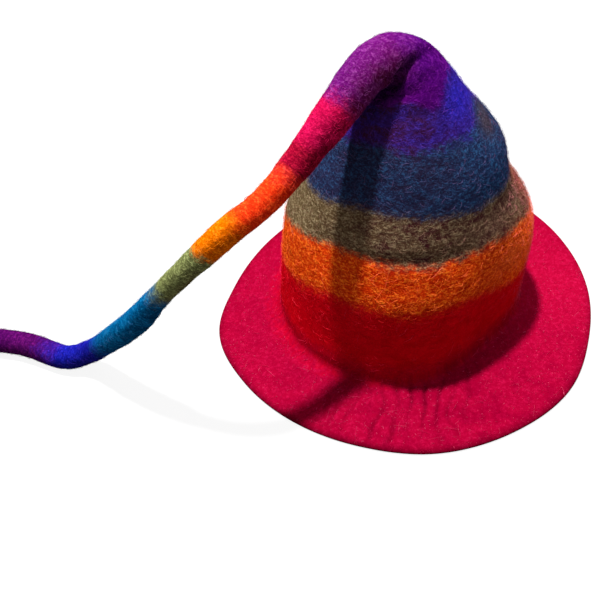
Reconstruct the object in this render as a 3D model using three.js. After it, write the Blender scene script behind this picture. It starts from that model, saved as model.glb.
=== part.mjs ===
// A pointed felt hat in one seamless piece of fulled wool: a flat brim, a hollow bell-shaped crown and
// a long tail that folds over at the tip, comes down in front and ends on the surface beside the brim.
// Millimetres, +Z up. The origin is the middle of the head opening, on the surface that the brim lies on.
// -Y is the front, +X is to the right as seen from there, and the tail runs towards -X.

import * as THREE from "three";

// Driving sizes
const WALL = 3; // thickness of the felt
const FOOT_STEPS = [0.35, 0.7]; // shares of the bend at the crown's foot that get a ring
const EDGE_BULGE = 1.2; // how far the brim's edge rounds out
const BRIM_FLAT = 0.45; // share of the brim, from the crown out, that lies flat
const CREASE_FILL = 0.9; // share of a bend's radius that the felt may fill on its inner side
const HOLLOW_SECTIONS = 9; // the hollow is even up to this row of SECTIONS, in the tip
const HOLLOW_CLOSING = [0.2, 0.55, 1]; // shares of the tip that felt fills above that row, ring by ring
const BEND_SPAN = 0.25; // part of a row of SECTIONS, each way, over which the run's bend is measured

// Facets
const AROUND = 36;
const BRIM_STEPS = 6;
const SECTION_STEPS = 2; // rings for each row of SECTIONS
const TIP_STEPS = 3;

// The brim at even angles, from the right by the back and the left to the front: its edge's reach from the
// origin, how far the edge lifts off the surface, and the reach of the soft bend up into the crown.
const BRIM_EDGE = [
  { reach: 154.5, lift: 0.5, bend: 7 },
  { reach: 151, lift: 1.5, bend: 9 },
  { reach: 148.5, lift: 2.5, bend: 9 },
  { reach: 145.5, lift: 3, bend: 9 },
  { reach: 142, lift: 2.5, bend: 9 },
  { reach: 137, lift: 2, bend: 9 },
  { reach: 129.5, lift: 2, bend: 9 },
  { reach: 123, lift: 2.5, bend: 10 },
  { reach: 126.5, lift: 2, bend: 11 },
  { reach: 135.5, lift: 1, bend: 13 },
  { reach: 149.5, lift: 0.5, bend: 14 },
  { reach: 151, lift: 0, bend: 13 },
  { reach: 153, lift: 0, bend: 10 },
  { reach: 156.5, lift: 0, bend: 7 },
  { reach: 162.5, lift: 0, bend: 5.5 },
  { reach: 164.5, lift: 0, bend: 4 },
  { reach: 165, lift: 0, bend: 4 },
  { reach: 158, lift: 0, bend: 5 },
];

// Sections from the crown's foot to the end of the tail: the middle, the half width and half depth, and
// how far the section is turned from level (0) to square across the run (1).
const SECTIONS = [
  { x: 1, y: -2, z: 14, wide: 97, deep: 99.5, square: 0 },
  { x: 4, y: -2, z: 38, wide: 97, deep: 95, square: 0 },
  { x: 7, y: -0.5, z: 68, wide: 96, deep: 91, square: 0 },
  { x: 7.5, y: 0.5, z: 95, wide: 90.5, deep: 82, square: 0 },
  { x: 6.5, y: 0, z: 117, wide: 78.5, deep: 75, square: 0 },
  { x: 8, y: 0.5, z: 134, wide: 72, deep: 69, square: 0 },
  { x: 11, y: 1, z: 152, wide: 63.5, deep: 62, square: 0 },
  { x: 10, y: 0, z: 168, wide: 53, deep: 52.5, square: 0 },
  { x: 9, y: -1, z: 184, wide: 42.5, deep: 41.5, square: 0 },
  { x: 8.5, y: -3, z: 198, wide: 33, deep: 31, square: 0.3 },
  { x: 4, y: -5, z: 211, wide: 24, deep: 24, square: 0.8 },
  { x: -6, y: -11, z: 220, wide: 17.3, deep: 17.3, square: 1 },
  { x: -19.9, y: -23.1, z: 218.3, wide: 14.5, deep: 14.5, square: 1 },
  { x: -37.1, y: -43.6, z: 204.9, wide: 12.8, deep: 12.8, square: 1 },
  { x: -60, y: -66.5, z: 184, wide: 10.2, deep: 10.2, square: 1 },
  { x: -80.8, y: -90.3, z: 171.1, wide: 9, deep: 9, square: 1 },
  { x: -103.6, y: -106.7, z: 160, wide: 9.1, deep: 9.1, square: 1 },
  { x: -128.5, y: -113.2, z: 138.1, wide: 7.9, deep: 7.9, square: 1 },
  { x: -155, y: -111.9, z: 108.6, wide: 7.7, deep: 7.7, square: 1 },
  { x: -177.9, y: -105.7, z: 78.2, wide: 9.2, deep: 9.2, square: 1 },
  { x: -202.5, y: -96.2, z: 50.2, wide: 8.7, deep: 8.7, square: 1 },
  { x: -229.6, y: -83, z: 20, wide: 8.4, deep: 8.4, square: 1 },
  { x: -254, y: -80, z: 9, wide: 9.2, deep: 9.2, square: 1 },
  { x: -286.5, y: -68, z: 8.6, wide: 9.3, deep: 9.3, square: 1 },
  { x: -316, y: -62.5, z: 8.6, wide: 8.9, deep: 8.9, square: 1 },
];

// Soft dents in the crown, and bulges with a depth below zero: where they are, how far they spread and how
// deep they go.
const DENTS = [
  { azimuth: 0, height: 126, spread: 34, tall: 9, depth: 1.5 },
  { azimuth: 316, height: 40, spread: 26, tall: 46, depth: 13 },
  { azimuth: 215, height: 10, spread: 30, tall: 22, depth: -1.5 },
  { azimuth: 271, height: 109, spread: 26, tall: 4.5, depth: 2.8 },
  { azimuth: 268, height: 88, spread: 30, tall: 32, depth: -6 },
];

// Dyed stripes. Each starts at a row of SECTIONS and runs to the next stripe.
const BRIM_COLOUR = "#c8003a";
const BRIM_ROW = -1; // stands for the brim, below the first stripe
const STRIPES = [
  { start: 0, colour: "#98060f" },
  { start: 1.85, colour: "#e0590f" },
  { start: 3.25, colour: "#6f6349" },
  { start: 4.9, colour: "#153f63" },
  { start: 7.35, colour: "#3a2a9e" },
  { start: 9.3, colour: "#6a0f80" },
  { start: 12.9, colour: "#d50f48" },
  { start: 14.2, colour: "#ef3a1c" },
  { start: 15.7, colour: "#f98200" },
  { start: 16.6, colour: "#6d7c49" },
  { start: 17.9, colour: "#0c527f" },
  { start: 20.6, colour: "#2521bd" },
  { start: 22.1, colour: "#5f0a74" },
];
const FELT_ROUGHNESS = 0.95;

const UP = new THREE.Vector3(0, 0, 1);
const LAST_ROW = SECTIONS.length - 1;
const NUDGE = BEND_SPAN / LAST_ROW;

const smooth = (rows, closed = false) => new THREE.CatmullRomCurve3(rows, closed, "catmullrom");
const run = smooth(SECTIONS.map((row) => new THREE.Vector3(row.x, row.y, row.z)));
const girth = smooth(SECTIONS.map((row) => new THREE.Vector3(row.wide, row.deep, row.square)));
const edge = smooth(BRIM_EDGE.map((row) => new THREE.Vector3(row.reach, row.lift, row.bend)), true);

const azimuths = Array.from({ length: AROUND }, (_, j) => (j / AROUND) * 2 * Math.PI);
const outward = azimuths.map((turn) => new THREE.Vector3(Math.cos(turn), Math.sin(turn), 0));

// How far all dents together push the wall in at one azimuth and height.
function dentDepth(turn, height) {
  let depth = 0;
  for (const dent of DENTS) {
    const away = turn - THREE.MathUtils.degToRad(dent.azimuth);
    const sideways = Math.atan2(Math.sin(away), Math.cos(away)) / THREE.MathUtils.degToRad(dent.spread);
    const upwards = (height - dent.height) / dent.tall;
    depth += dent.depth * Math.exp(-sideways * sideways - upwards * upwards);
  }
  return depth;
}

// The run's bend at one place: a vector to the inside of the bend, as long as one over its radius.
function bendAt(place) {
  const before = Math.max(place - NUDGE, 0);
  const after = Math.min(place + NUDGE, 1);
  const length = run.getPoint(before).distanceTo(run.getPoint(after));
  return run.getTangent(after).sub(run.getTangent(before)).divideScalar(length);
}

// Keeps the inside of a tight bend from passing through itself, which leaves a crease there.
function holdCrease(arm, bend, amount) {
  const tightness = bend.length();
  const inward = bend.clone().normalize();
  const towards = Math.max(arm.dot(inward), 0);
  const limit = CREASE_FILL / Math.max(tightness, Number.EPSILON);
  arm.addScaledVector(inward, amount * (limit * Math.tanh(towards / limit) - towards));
}

// Rings of the crown and the tail, each square to the run as far as its section says.
function bodyRings() {
  const rings = [];
  let across = new THREE.Vector3(1, 0, 0);
  for (let step = 0; step <= LAST_ROW * SECTION_STEPS; step += 1) {
    const place = step / (LAST_ROW * SECTION_STEPS);
    const middle = run.getPoint(place);
    const [wide, deep, turned] = girth.getPoint(place).toArray();
    const square = THREE.MathUtils.clamp(turned, 0, 1);
    const normal = UP.clone().lerp(run.getTangent(place), square).normalize();
    across = across.clone().addScaledVector(normal, -across.dot(normal)).normalize();
    const away = normal.clone().cross(across);
    const bend = bendAt(place);
    const points = azimuths.map((turn) => {
      const arm = across.clone().multiplyScalar(wide * Math.cos(turn));
      arm.addScaledVector(away, deep * Math.sin(turn));
      holdCrease(arm, bend, square);
      arm.setLength(arm.length() - (1 - square) * dentDepth(turn, middle.z));
      const point = arm.add(middle);
      point.z = Math.max(point.z, 0);
      return point;
    });
    rings.push({ middle, points, row: place * LAST_ROW });
  }
  return rings;
}

// Rings of the brim's upper side, from its edge in to the foot of the crown.
function brimRings(foot) {
  const rim = outward.map((_, j) => {
    const [reach, lift, bend] = edge.getPoint(j / AROUND).toArray();
    return { reach, lift: Math.max(lift, 0), bend };
  });
  const outer = rim.map((place, j) => outward[j].clone().multiplyScalar(place.reach).setZ(WALL));
  const corners = foot.points.map((point) => point.clone().setZ(WALL));
  const inner = corners.map((corner, j) => corner.clone().addScaledVector(outward[j], rim[j].bend));
  const middle = new THREE.Vector3();
  const rings = [];
  for (let step = 0; step <= BRIM_STEPS; step += 1) {
    const share = step / BRIM_STEPS;
    const curl = Math.max(1 - share / (1 - BRIM_FLAT), 0) ** 2;
    const points = outer.map((point, j) => {
      return point.clone().lerp(inner[j], share).addScaledVector(UP, rim[j].lift * curl);
    });
    rings.push({ middle, points, row: BRIM_ROW });
  }
  for (const share of FOOT_STEPS) {
    const points = inner.map((point, j) => {
      return new THREE.QuadraticBezierCurve3(point, corners[j], foot.points[j]).getPoint(share);
    });
    rings.push({ middle, points, row: BRIM_ROW });
  }
  return rings;
}

// A half-round end on the last ring of the tail.
function tipRings(last) {
  const reach = SECTIONS[LAST_ROW].wide;
  const along = run.getTangent(1);
  return Array.from({ length: TIP_STEPS }, (_, step) => {
    const turn = ((step + 1) / TIP_STEPS) * (Math.PI / 2);
    const middle = last.middle.clone().addScaledVector(along, reach * Math.sin(turn));
    const points = last.points.map((point) => {
      const arm = point.clone().sub(last.middle).multiplyScalar(Math.cos(turn));
      return arm.add(middle);
    });
    return { middle, points, row: LAST_ROW };
  });
}

// The outward normal of a stack of rings at one of its points.
function normalAt(rings, i, j) {
  const below = rings[Math.max(i - 1, 0)].points[j];
  const above = rings[Math.min(i + 1, rings.length - 1)].points[j];
  const left = rings[i].points[(j + AROUND - 1) % AROUND];
  const right = rings[i].points[(j + 1) % AROUND];
  return right.clone().sub(left).cross(above.clone().sub(below)).normalize();
}

// Rings of the underside and the hollow: the outer rings moved in by the wall, then closed in the tip.
function innerRings(outer, firstBody) {
  const even = firstBody + HOLLOW_SECTIONS * SECTION_STEPS;
  return outer.slice(0, even + HOLLOW_CLOSING.length + 1).map((ring, i) => {
    const closing = i > even ? HOLLOW_CLOSING[i - even - 1] : 0;
    const points = ring.points.map((point, j) => {
      const moved = point.clone().addScaledVector(normalAt(outer, i, j), -WALL);
      return moved.lerp(ring.middle, closing);
    });
    return { middle: ring.middle, points, row: ring.row };
  });
}

// The rounded edge between the brim's two sides.
function edgeRing(top, bottom) {
  const points = top.points.map((point, j) => {
    const halfway = point.clone().add(bottom.points[j]).divideScalar(2);
    return halfway.addScaledVector(outward[j], EDGE_BULGE);
  });
  return { middle: top.middle, points, row: BRIM_ROW };
}

// The dye at one row of the sections.
function dye(row) {
  const stripe = STRIPES.findLast((band) => band.start <= row);
  return new THREE.Color(stripe ? stripe.colour : BRIM_COLOUR);
}

// One closed skin through all rings. The first and the last ring have shrunk to a point, so each counts
// as one vertex.
function skin(rings) {
  const positions = [];
  const colours = [];
  const index = [];
  const starts = [];
  rings.forEach((ring, i) => {
    const isPole = i === 0 || i === rings.length - 1;
    const points = isPole ? [ring.middle] : ring.points;
    starts.push(positions.length / 3);
    for (const point of points) {
      positions.push(...point.toArray());
      colours.push(...dye(ring.row).toArray());
    }
  });
  const vertex = (i, j) => {
    const isPole = i === 0 || i === rings.length - 1;
    return starts[i] + (isPole ? 0 : j % AROUND);
  };
  for (let i = 0; i < rings.length - 1; i += 1) {
    for (let j = 0; j < AROUND; j += 1) {
      if (i > 0) index.push(vertex(i, j), vertex(i, j + 1), vertex(i + 1, j + 1));
      if (i < rings.length - 2) index.push(vertex(i, j), vertex(i + 1, j + 1), vertex(i + 1, j));
    }
  }
  const geometry = new THREE.BufferGeometry();
  geometry.setAttribute("position", new THREE.Float32BufferAttribute(positions, 3));
  geometry.setAttribute("color", new THREE.Float32BufferAttribute(colours, 3));
  geometry.setIndex(index);
  geometry.computeVertexNormals();
  return geometry;
}

function feltHat() {
  const body = bodyRings();
  const brim = brimRings(body[0]);
  const outer = [...brim, ...body, ...tipRings(body[body.length - 1])];
  const inner = innerRings(outer, brim.length);
  const rings = [...inner.slice().reverse(), edgeRing(outer[0], inner[0]), ...outer];
  const felt = new THREE.MeshStandardMaterial({
    vertexColors: true,
    roughness: FELT_ROUGHNESS,
    metalness: 0,
  });
  const mesh = new THREE.Mesh(skin(rings), felt);
  mesh.name = "felt_hat";
  return mesh;
}

const hat = new THREE.Group();
hat.add(feltHat());

export default hat;
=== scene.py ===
"""Finishes a pointed hat of dyed wool felt, with its creases and loose fibres, on a plain stage."""

import math
from collections import namedtuple

import bpy
import numpy as np
from bpy.props import FloatProperty, FloatVectorProperty, IntProperty, PointerProperty
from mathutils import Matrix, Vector, noise


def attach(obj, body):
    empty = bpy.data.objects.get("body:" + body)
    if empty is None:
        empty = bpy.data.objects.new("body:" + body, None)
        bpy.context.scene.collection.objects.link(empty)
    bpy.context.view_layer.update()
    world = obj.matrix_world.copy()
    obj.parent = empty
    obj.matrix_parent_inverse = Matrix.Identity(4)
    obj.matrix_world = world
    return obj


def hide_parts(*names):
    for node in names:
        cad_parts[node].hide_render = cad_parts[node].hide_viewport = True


bl_info = {
    "name": "Pointed Felt Hat",
    "version": (1, 0, 0),
    "blender": (4, 5, 0),
    "location": "View3D > Sidebar > Felt Hat",
    "description": "Makes a pointed hat of dyed wool felt with loose fibres, and a plain stage for it",
    "category": "Object",
}

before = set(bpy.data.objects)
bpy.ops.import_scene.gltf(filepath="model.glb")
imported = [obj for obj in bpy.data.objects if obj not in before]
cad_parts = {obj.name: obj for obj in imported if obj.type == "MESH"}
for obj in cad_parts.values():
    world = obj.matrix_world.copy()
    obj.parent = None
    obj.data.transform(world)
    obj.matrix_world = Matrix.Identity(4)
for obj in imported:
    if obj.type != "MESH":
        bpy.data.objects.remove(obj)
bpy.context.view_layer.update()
BODY = "root"
FELT_NODE = "felt_hat"
MM = 0.001  # the tables and sizes of the form are in millimetres
TINY = 1e-12  # shortest length that a vector is divided by

# Form of the felt

Section = namedtuple("Section", "x y z wide deep square")
# From the crown's foot to the end of the tail: the middle, the half width and half depth, and how far the
# section is turned from level (0) to square across the run (1).
SECTIONS = [
    Section(1, -2, 14, 97, 99.5, 0),
    Section(4, -2, 38, 97, 95, 0),
    Section(7, -0.5, 68, 96, 91, 0),
    Section(7.5, 0.5, 95, 90.5, 82, 0),
    Section(6.5, 0, 117, 78.5, 75, 0),
    Section(8, 0.5, 134, 72, 69, 0),
    Section(11, 1, 152, 63.5, 62, 0),
    Section(10, 0, 168, 53, 52.5, 0),
    Section(9, -1, 184, 42.5, 41.5, 0),
    Section(8.5, -3, 198, 33, 31, 0.3),
    Section(4, -5, 211, 24, 24, 0.8),
    Section(-6, -11, 220, 17.3, 17.3, 1),
    Section(-19.9, -23.1, 218.3, 14.5, 14.5, 1),
    Section(-37.1, -43.6, 204.9, 12.8, 12.8, 1),
    Section(-60, -66.5, 184, 10.2, 10.2, 1),
    Section(-80.8, -90.3, 171.1, 9, 9, 1),
    Section(-103.6, -106.7, 160, 9.1, 9.1, 1),
    Section(-128.5, -113.2, 138.1, 7.9, 7.9, 1),
    Section(-155, -111.9, 108.6, 7.7, 7.7, 1),
    Section(-177.9, -105.7, 78.2, 9.2, 9.2, 1),
    Section(-202.5, -96.2, 50.2, 8.7, 8.7, 1),
    Section(-229.6, -83, 20, 8.4, 8.4, 1),
    Section(-254, -80, 9, 9.2, 9.2, 1),
    Section(-286.5, -68, 8.6, 9.3, 9.3, 1),
    Section(-316, -62.5, 8.6, 8.9, 8.9, 1),
]
LAST_ROW = len(SECTIONS) - 1

RimPoint = namedtuple("RimPoint", "reach lift bend")
# The brim at even angles, from the right by the back and the left to the front: its edge's reach from the
# origin, how far the edge lifts off the surface, and the reach of the soft bend up into the crown.
RIM = [
    RimPoint(154.5, 0.5, 7),
    RimPoint(151, 1.5, 9),
    RimPoint(148.5, 2.5, 9),
    RimPoint(145.5, 3, 9),
    RimPoint(142, 2.5, 9),
    RimPoint(137, 2, 9),
    RimPoint(129.5, 2, 9),
    RimPoint(123, 2.5, 10),
    RimPoint(126.5, 2, 11),
    RimPoint(135.5, 1, 13),
    RimPoint(149.5, 0.5, 14),
    RimPoint(151, 0, 13),
    RimPoint(153, 0, 10),
    RimPoint(156.5, 0, 7),
    RimPoint(162.5, 0, 5.5),
    RimPoint(164.5, 0, 4),
    RimPoint(165, 0, 4),
    RimPoint(158, 0, 5),
]

Dent = namedtuple("Dent", "azimuth height spread tall depth")
# Soft dents in the crown, and bulges with a depth below zero: degrees round and millimetres up, how far they
# spread and how deep they go.
DENTS = [
    Dent(0, 126, 34, 9, 1.5),
    Dent(316, 40, 26, 46, 13),
    Dent(215, 10, 30, 22, -1.5),
    Dent(271, 109, 26, 4.5, 2.8),
    Dent(268, 88, 30, 32, -6),
]

CreasePoint = namedtuple("CreasePoint", "x y z depth")
# The crease under the fold, from its shallow upper end down to where the tail leaves the crown.
CREASE = [
    CreasePoint(24, 2, 224, 0),
    CreasePoint(18, -12, 227, 3),
    CreasePoint(12, -18, 226, 4.5),
    CreasePoint(7, -23, 224, 6),
    CreasePoint(2, -26, 219, 7),
    CreasePoint(-3, -21, 209, 6),
    CreasePoint(-8, -21, 203, 3),
    CreasePoint(-13, -24, 199, 0),
]
CREASE_ROWS = (8.5, 12.4)  # rows of SECTIONS that the crease may move
CREASE_WALL = 2.5  # reach of the crease on the tail's side
CREASE_SLOPE = 4  # reach of the crease on the crown's side
CREASE_PAINTED_SHADE = 9  # reach of the painted shade along the crease

RIB_CENTRE = np.array([40, 150])  # the brim's ribs fan out from here
RIB_PITCH = 2.2  # degrees between two ribs, seen from there
RIB_MIDDLE = 6  # where the ribs are deepest, from left to right
RIB_REACH = 56  # how far the ribs spread to either side
RIB_FRONT = (60, 90)  # distances in front of the origin between which the ribs set in
RIB_CREASE = 0.55  # breadth of the creases between the ribs
RIB_SWELL = 0.4  # how far a rib stands up, next to a crease that is 1 deep
RIB_WANDER = 0.7  # how far the creases wander, in pitches
RIB_STRENGTH = (0.7, 1.3)  # mean strength of the creases, and how far it varies
RIB_GRAIN = np.array([1, 0.4, 1])  # the strength varies more slowly from front to back
RIM_PAINTED_SHADE = (1.0, 0.5, 0.15)  # painted shade: how much darker the felt is drawn at the brim's front edge, ring by ring inwards

Lumps = namedtuple("Lumps", "size seed")
# Unevenness of the felt and of its dye: the size of the lumps, and where their noise starts.
BROAD_LUMPS = Lumps(26, 1)
PEBBLES = Lumps(6.5, 2)
RIB_BENDS = Lumps(24, 3)
RIB_BREAKS = Lumps(14, 8)
BAND_WAVES = Lumps(11, 5)
BAND_RIPPLES = Lumps(5, 6)
NOISE_SHIFT = (17.3, 5.1, 11.7)  # distance in the noise from one start to the next
RIPPLE_SHARE = 0.6  # strength of the ripples next to the waves
SMOOTH_LUMPS = 0.4  # share of the broad lumps that smooth felt has
SMOOTH_PEBBLES = 0.35  # share of the pebbles that smooth felt has

BRIM_FLAT = 0.45  # share of the brim, from the crown out, that lies flat
CREASE_FILL = 0.9  # share of a bend's radius that the felt may fill on its inner side
BEND_SPAN = 0.25  # part of a row of SECTIONS, each way, over which the run's bend is measured
STRAIGHT = 1e-6  # bends under this leave no crease
RUN_NUDGE = 0.01  # part of a row, each way, over which the run's direction is measured
HOLLOW_ROW = 9.5  # the hollow closes above this row of SECTIONS

# Rings of the mesh

AROUND = 320  # points of a ring
FRONT = 275  # azimuth in degrees where the points of a ring lie closest together, at the brim's ribs
FRONT_SPREAD = 30  # degrees to either side over which they do
FRONT_CROWDING = 2.0  # how much closer together they lie there
FINE_AZIMUTHS = 7201  # angles at which the crowding is measured
FINE_ROWS = 200  # places in a row of SECTIONS at which the run is measured
RING_STEP = 2.4  # distance between rings along the crown
TAIL_STEP = 3.4  # distance between rings along the tail
TAIL_ROW = 12  # row of SECTIONS where the tail starts
TAIL_FADE = (8.5, 10.5)  # rows over which the crown's fibres give way to the tail's
RIM_ROW = -2.5  # row number that the brim's rim gets
BEND_ROW = -0.5  # row number that the brim gets where it bends up into the crown
RIB_ROWS = (0.3, -0.6, -0.3)  # rows from the rim in to where ribs start, and rows between which they end
HOLLOW_STRIDE = 3  # the inside has a ring for every third ring of the outside
BRIM_STEPS = 26  # rings across the brim
FOOT_STEPS = 6  # rings in the bend at the crown's foot
EDGE_STEPS = 5  # rings round the brim's edge
TIP_STEPS = 6  # rings in the round end of the tail
CLOSING_STEPS = 5  # rings that close the top of the hollow
# Corners of a face in the map, in columns and lines: at the first point, between rings, at the last point.
FIRST_CORNERS = ((0.5, 0), (1, 1), (0, 1))
CORNERS = ((0, 0), (1, 0), (1, 1), (0, 1))
LAST_CORNERS = ((0, 0), (1, 0), (0.5, 1))

# Dye

Band = namedtuple("Band", "name dye mottle fleck amount soft")
# Bands of dye from the brim to the end of the tail. Patches of a second colour lie under flecks of a third,
# which are worked in by an amount from 0 to 1. Each band starts softly over a share of its breadth.
BANDS = [
    Band("brim", "#920428", "#780020", "#c41c54", 0.3, 0.08),
    Band("red", "#d00018", "#ac000c", "#dc2024", 0.2, 0.35),
    Band("orange", "#ea400c", "#a81e04", "#ff962a", 0.8, 0.08),
    Band("olive", "#645236", "#3c161c", "#9c8c6c", 0.8, 0.08),
    Band("teal", "#1b2b4e", "#241e36", "#2a5e8a", 0.65, 0.08),
    Band("blue", "#261a7e", "#381430", "#3830a4", 0.7, 0.08),
    Band("purple", "#4c066c", "#4c0462", "#701c80", 0.5, 0.08),
    # From the fold on, the second colours are darker painted shade for the tail's shaded flanks.
    Band("fold", "#600e64", "#48062c", "#9a5094", 0.35, 0.3),
    Band("tail_crimson", "#b40a42", "#64001c", "#d8205c", 0.6, 0.15),
    # painted shade: a darker band where the tail's waist turns away from the light
    Band("tail_cherry", "#8c0626", "#440014", "#c82040", 0.6, 0.3),
    Band("tail_flame", "#d83210", "#b81c08", "#f06428", 0.6, 0.35),
    Band("tail_amber", "#d46400", "#a03c00", "#ec8818", 0.6, 0.3),
    Band("tail_moss", "#6a7042", "#443c24", "#9ca468", 0.8, 0.06),
    Band("tail_petrol", "#005488", "#002a4c", "#1878a8", 0.7, 0.1),
    Band("tail_blue", "#121484", "#0c0a4c", "#2428a8", 0.7, 0.25),
    Band("tail_plum", "#42064a", "#280430", "#60105c", 0.7, 0.2),
]

Edges = namedtuple("Edges", "orange olive teal blue purple")
# Where these bands start on the crown, in rows of SECTIONS, at every 30 degrees from the right by the back.
CROWN_EDGES = [
    Edges(1.5, 3.0, 4.5, 8.1, 9.6),
    Edges(1.6, 3.1, 4.6, 7.1, 9.4),
    Edges(1.75, 3.2, 4.7, 7.0, 9.2),
    Edges(1.75, 3.2, 4.8, 7.0, 9.0),
    Edges(1.75, 3.1, 4.8, 7.0, 8.9),
    Edges(1.7, 2.9, 4.7, 7.0, 8.8),
    Edges(1.55, 2.75, 4.65, 6.95, 8.8),
    Edges(1.85, 3.18, 4.83, 7.2, 8.9),
    Edges(2.22, 3.57, 5.24, 7.6, 9.2),
    Edges(2.12, 3.39, 5.18, 7.46, 9.52),
    Edges(2.03, 3.38, 4.96, 7.64, 9.0),
    Edges(1.45, 3.26, 4.73, 7.5, 9.52),
]
# Where the bands of the fold and the tail start, in rows of SECTIONS.
TAIL_EDGES = [10.5, 12.9, 13.72, 14.2, 15.58, 16.6, 17.8, 20.25, 22.15]
FOOT_ROW = -0.35  # the brim's band ends in the bend at the crown's foot
BAND_FADE = 0.08  # share of a band's breadth over which it ends
BAND_WANDER = 0.1  # how far the bands' edges wander, in rows
HAIRY_BANDS = (1.35, 2.1)  # places in the bands between which smooth felt turns to hairy felt

Mottle = namedtuple("Mottle", "warm olive cool tail")
# How strongly the second colour shows at the same angles: below, in and above the olive, and on the tail. On
# the crown it is partly real mottling and partly painted shade on the front and the right; on the tail it is
# painted shade on the flanks away from the light.
MOTTLE_AND_PAINTED_SHADE = [
    Mottle(0.2, 0.9, 0.3, 0.4),
    Mottle(0.5, 0.7, 0.4, 0.15),
    Mottle(0.6, 0.6, 0.5, 0),
    Mottle(0.6, 0.6, 0.6, 0),
    Mottle(0.6, 0.6, 0.6, 0),
    Mottle(0.6, 0.5, 0.6, 0.1),
    Mottle(0.6, 0.3, 0.7, 0.3),
    Mottle(0.65, 0.2, 0.9, 0.7),
    Mottle(0.7, 0.7, 1, 1),
    Mottle(1, 1, 1, 1),
    Mottle(1, 1, 0.7, 1),
    Mottle(0.8, 1, 0.3, 0.8),
]
MOTTLE_STEPS = (2.8, 3.8, 7)  # places in the bands where one of these shares starts to turn to the next
MOTTLE_FADE = 0.4  # how far a turn reaches

Stain = namedtuple("Stain", "azimuth row spread tall amount colour")
# Places where other wool is worked in: degrees round and rows of SECTIONS up, and how far they spread.
STAINS = [
    Stain(358, 7.3, 18, 0.6, 1, "#3c3440"),
    Stain(340, 8.75, 24, 0.5, 0.6, "#3028c0"),
    Stain(332, 3.95, 28, 0.5, 0.55, "#6c4a40"),
    Stain(6, 3.2, 12, 1.7, 0.45, "#b84c48"),
    Stain(330, 2.5, 16, 0.6, 0.4, "#f06a30"),
]
STAIN_PATCHINESS = 0.5  # how far a stain's strength follows the wander of the bands' edges
STAIN_PATCH_LIMIT = 2  # most that the wander may strengthen a stain
FAINTEST = 1e-6  # strength of the stains where there are none
DYE_LAYERS = ("dye", "mottle", "fleck")
STAIN_TONES = (1, 0.6, 1.6)  # brightness of a stain in these layers


def linear(code):
    """A hex colour as linear red, green and blue, by the sRGB curve."""
    parts = [int(code[i:i + 2], 16) / 255 for i in (1, 3, 5)]
    return tuple(c / 12.92 if c <= 0.04045 else ((c + 0.055) / 1.055) ** 2.4 for c in parts)


# Properties

class FeltForm(bpy.types.PropertyGroup):
    """Sizes of the felt's surface."""

    wall: FloatProperty(
        name="Wall", description="Thickness of the felt", default=0.003, unit="LENGTH")
    lumps: FloatProperty(
        name="Lumps", description="Height of the broad lumps in the felt", default=0.0007, unit="LENGTH")
    pebbles: FloatProperty(
        name="Pebbles", description="Height of the fine unevenness of fulled wool",
        default=0.0004, unit="LENGTH")
    ribs: FloatProperty(
        name="Ribs", description="Depth of the soft ribs in the front of the brim",
        default=0.0011, unit="LENGTH")


class FeltFuzz(bpy.types.PropertyGroup):
    """Sizes of the loose fibres."""

    length: FloatProperty(
        name="Length", description="Mean length of a loose fibre", default=0.0038, unit="LENGTH")
    width: FloatProperty(
        name="Width", description="Width of a loose fibre", default=0.00006, unit="LENGTH")
    lift: FloatProperty(
        name="Lift", description="How far a fibre stands off the felt", default=0.0009, unit="LENGTH")
    curl: FloatProperty(
        name="Curl", description="How far a fibre wanders", default=0.0012, unit="LENGTH")
    brim_count: IntProperty(
        name="On the brim", description="Fibres for each square centimetre of brim", default=16)
    crown_count: IntProperty(
        name="On the crown", description="Fibres for each square centimetre of crown", default=26)
    tail_count: IntProperty(
        name="On the tail", description="Fibres for each square centimetre of tail", default=40)
    stray_count: IntProperty(
        name="Stray hairs", description="Long hairs for each square centimetre of brim and lower crown",
        default=1)
    veil_count: IntProperty(
        name="Veil", description="Fibres for each square centimetre of the veil at one side", default=60)
    seed: IntProperty(
        name="Seed", description="Start of the random places", default=7)


class FeltDye(bpy.types.PropertyGroup):
    """Colours of the bands of dye and of the flecks in them."""

    __annotations__ = {
        key: FloatVectorProperty(
            name=key.replace("_", " ").capitalize(),
            description=f"Colour of the {key.replace('_', ' ')}",
            subtype="COLOR", size=3, min=0, max=1, default=linear(code))
        for band in BANDS
        for key, code in ((f"{band.name}_{layer}", getattr(band, layer)) for layer in DYE_LAYERS)
    }


class HatStage(bpy.types.PropertyGroup):
    """The floor, the lights and the camera."""

    floor: FloatVectorProperty(
        name="Floor", description="Colour of the floor", subtype="COLOR", size=3, min=0, max=1,
        default=(0.1, 0.1, 0.1))
    key: FloatProperty(
        name="Key light", description="Power of the key light", default=720, unit="POWER")
    overhead: FloatProperty(
        name="Overhead light", description="Power of the soft light overhead", default=13, unit="POWER")
    fill: FloatProperty(
        name="Fill", description="Brightness of the even light from all round", default=0.21)
    lens: FloatProperty(
        name="Lens", description="Focal length of the camera", default=51, subtype="DISTANCE_CAMERA")


# Form

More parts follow.
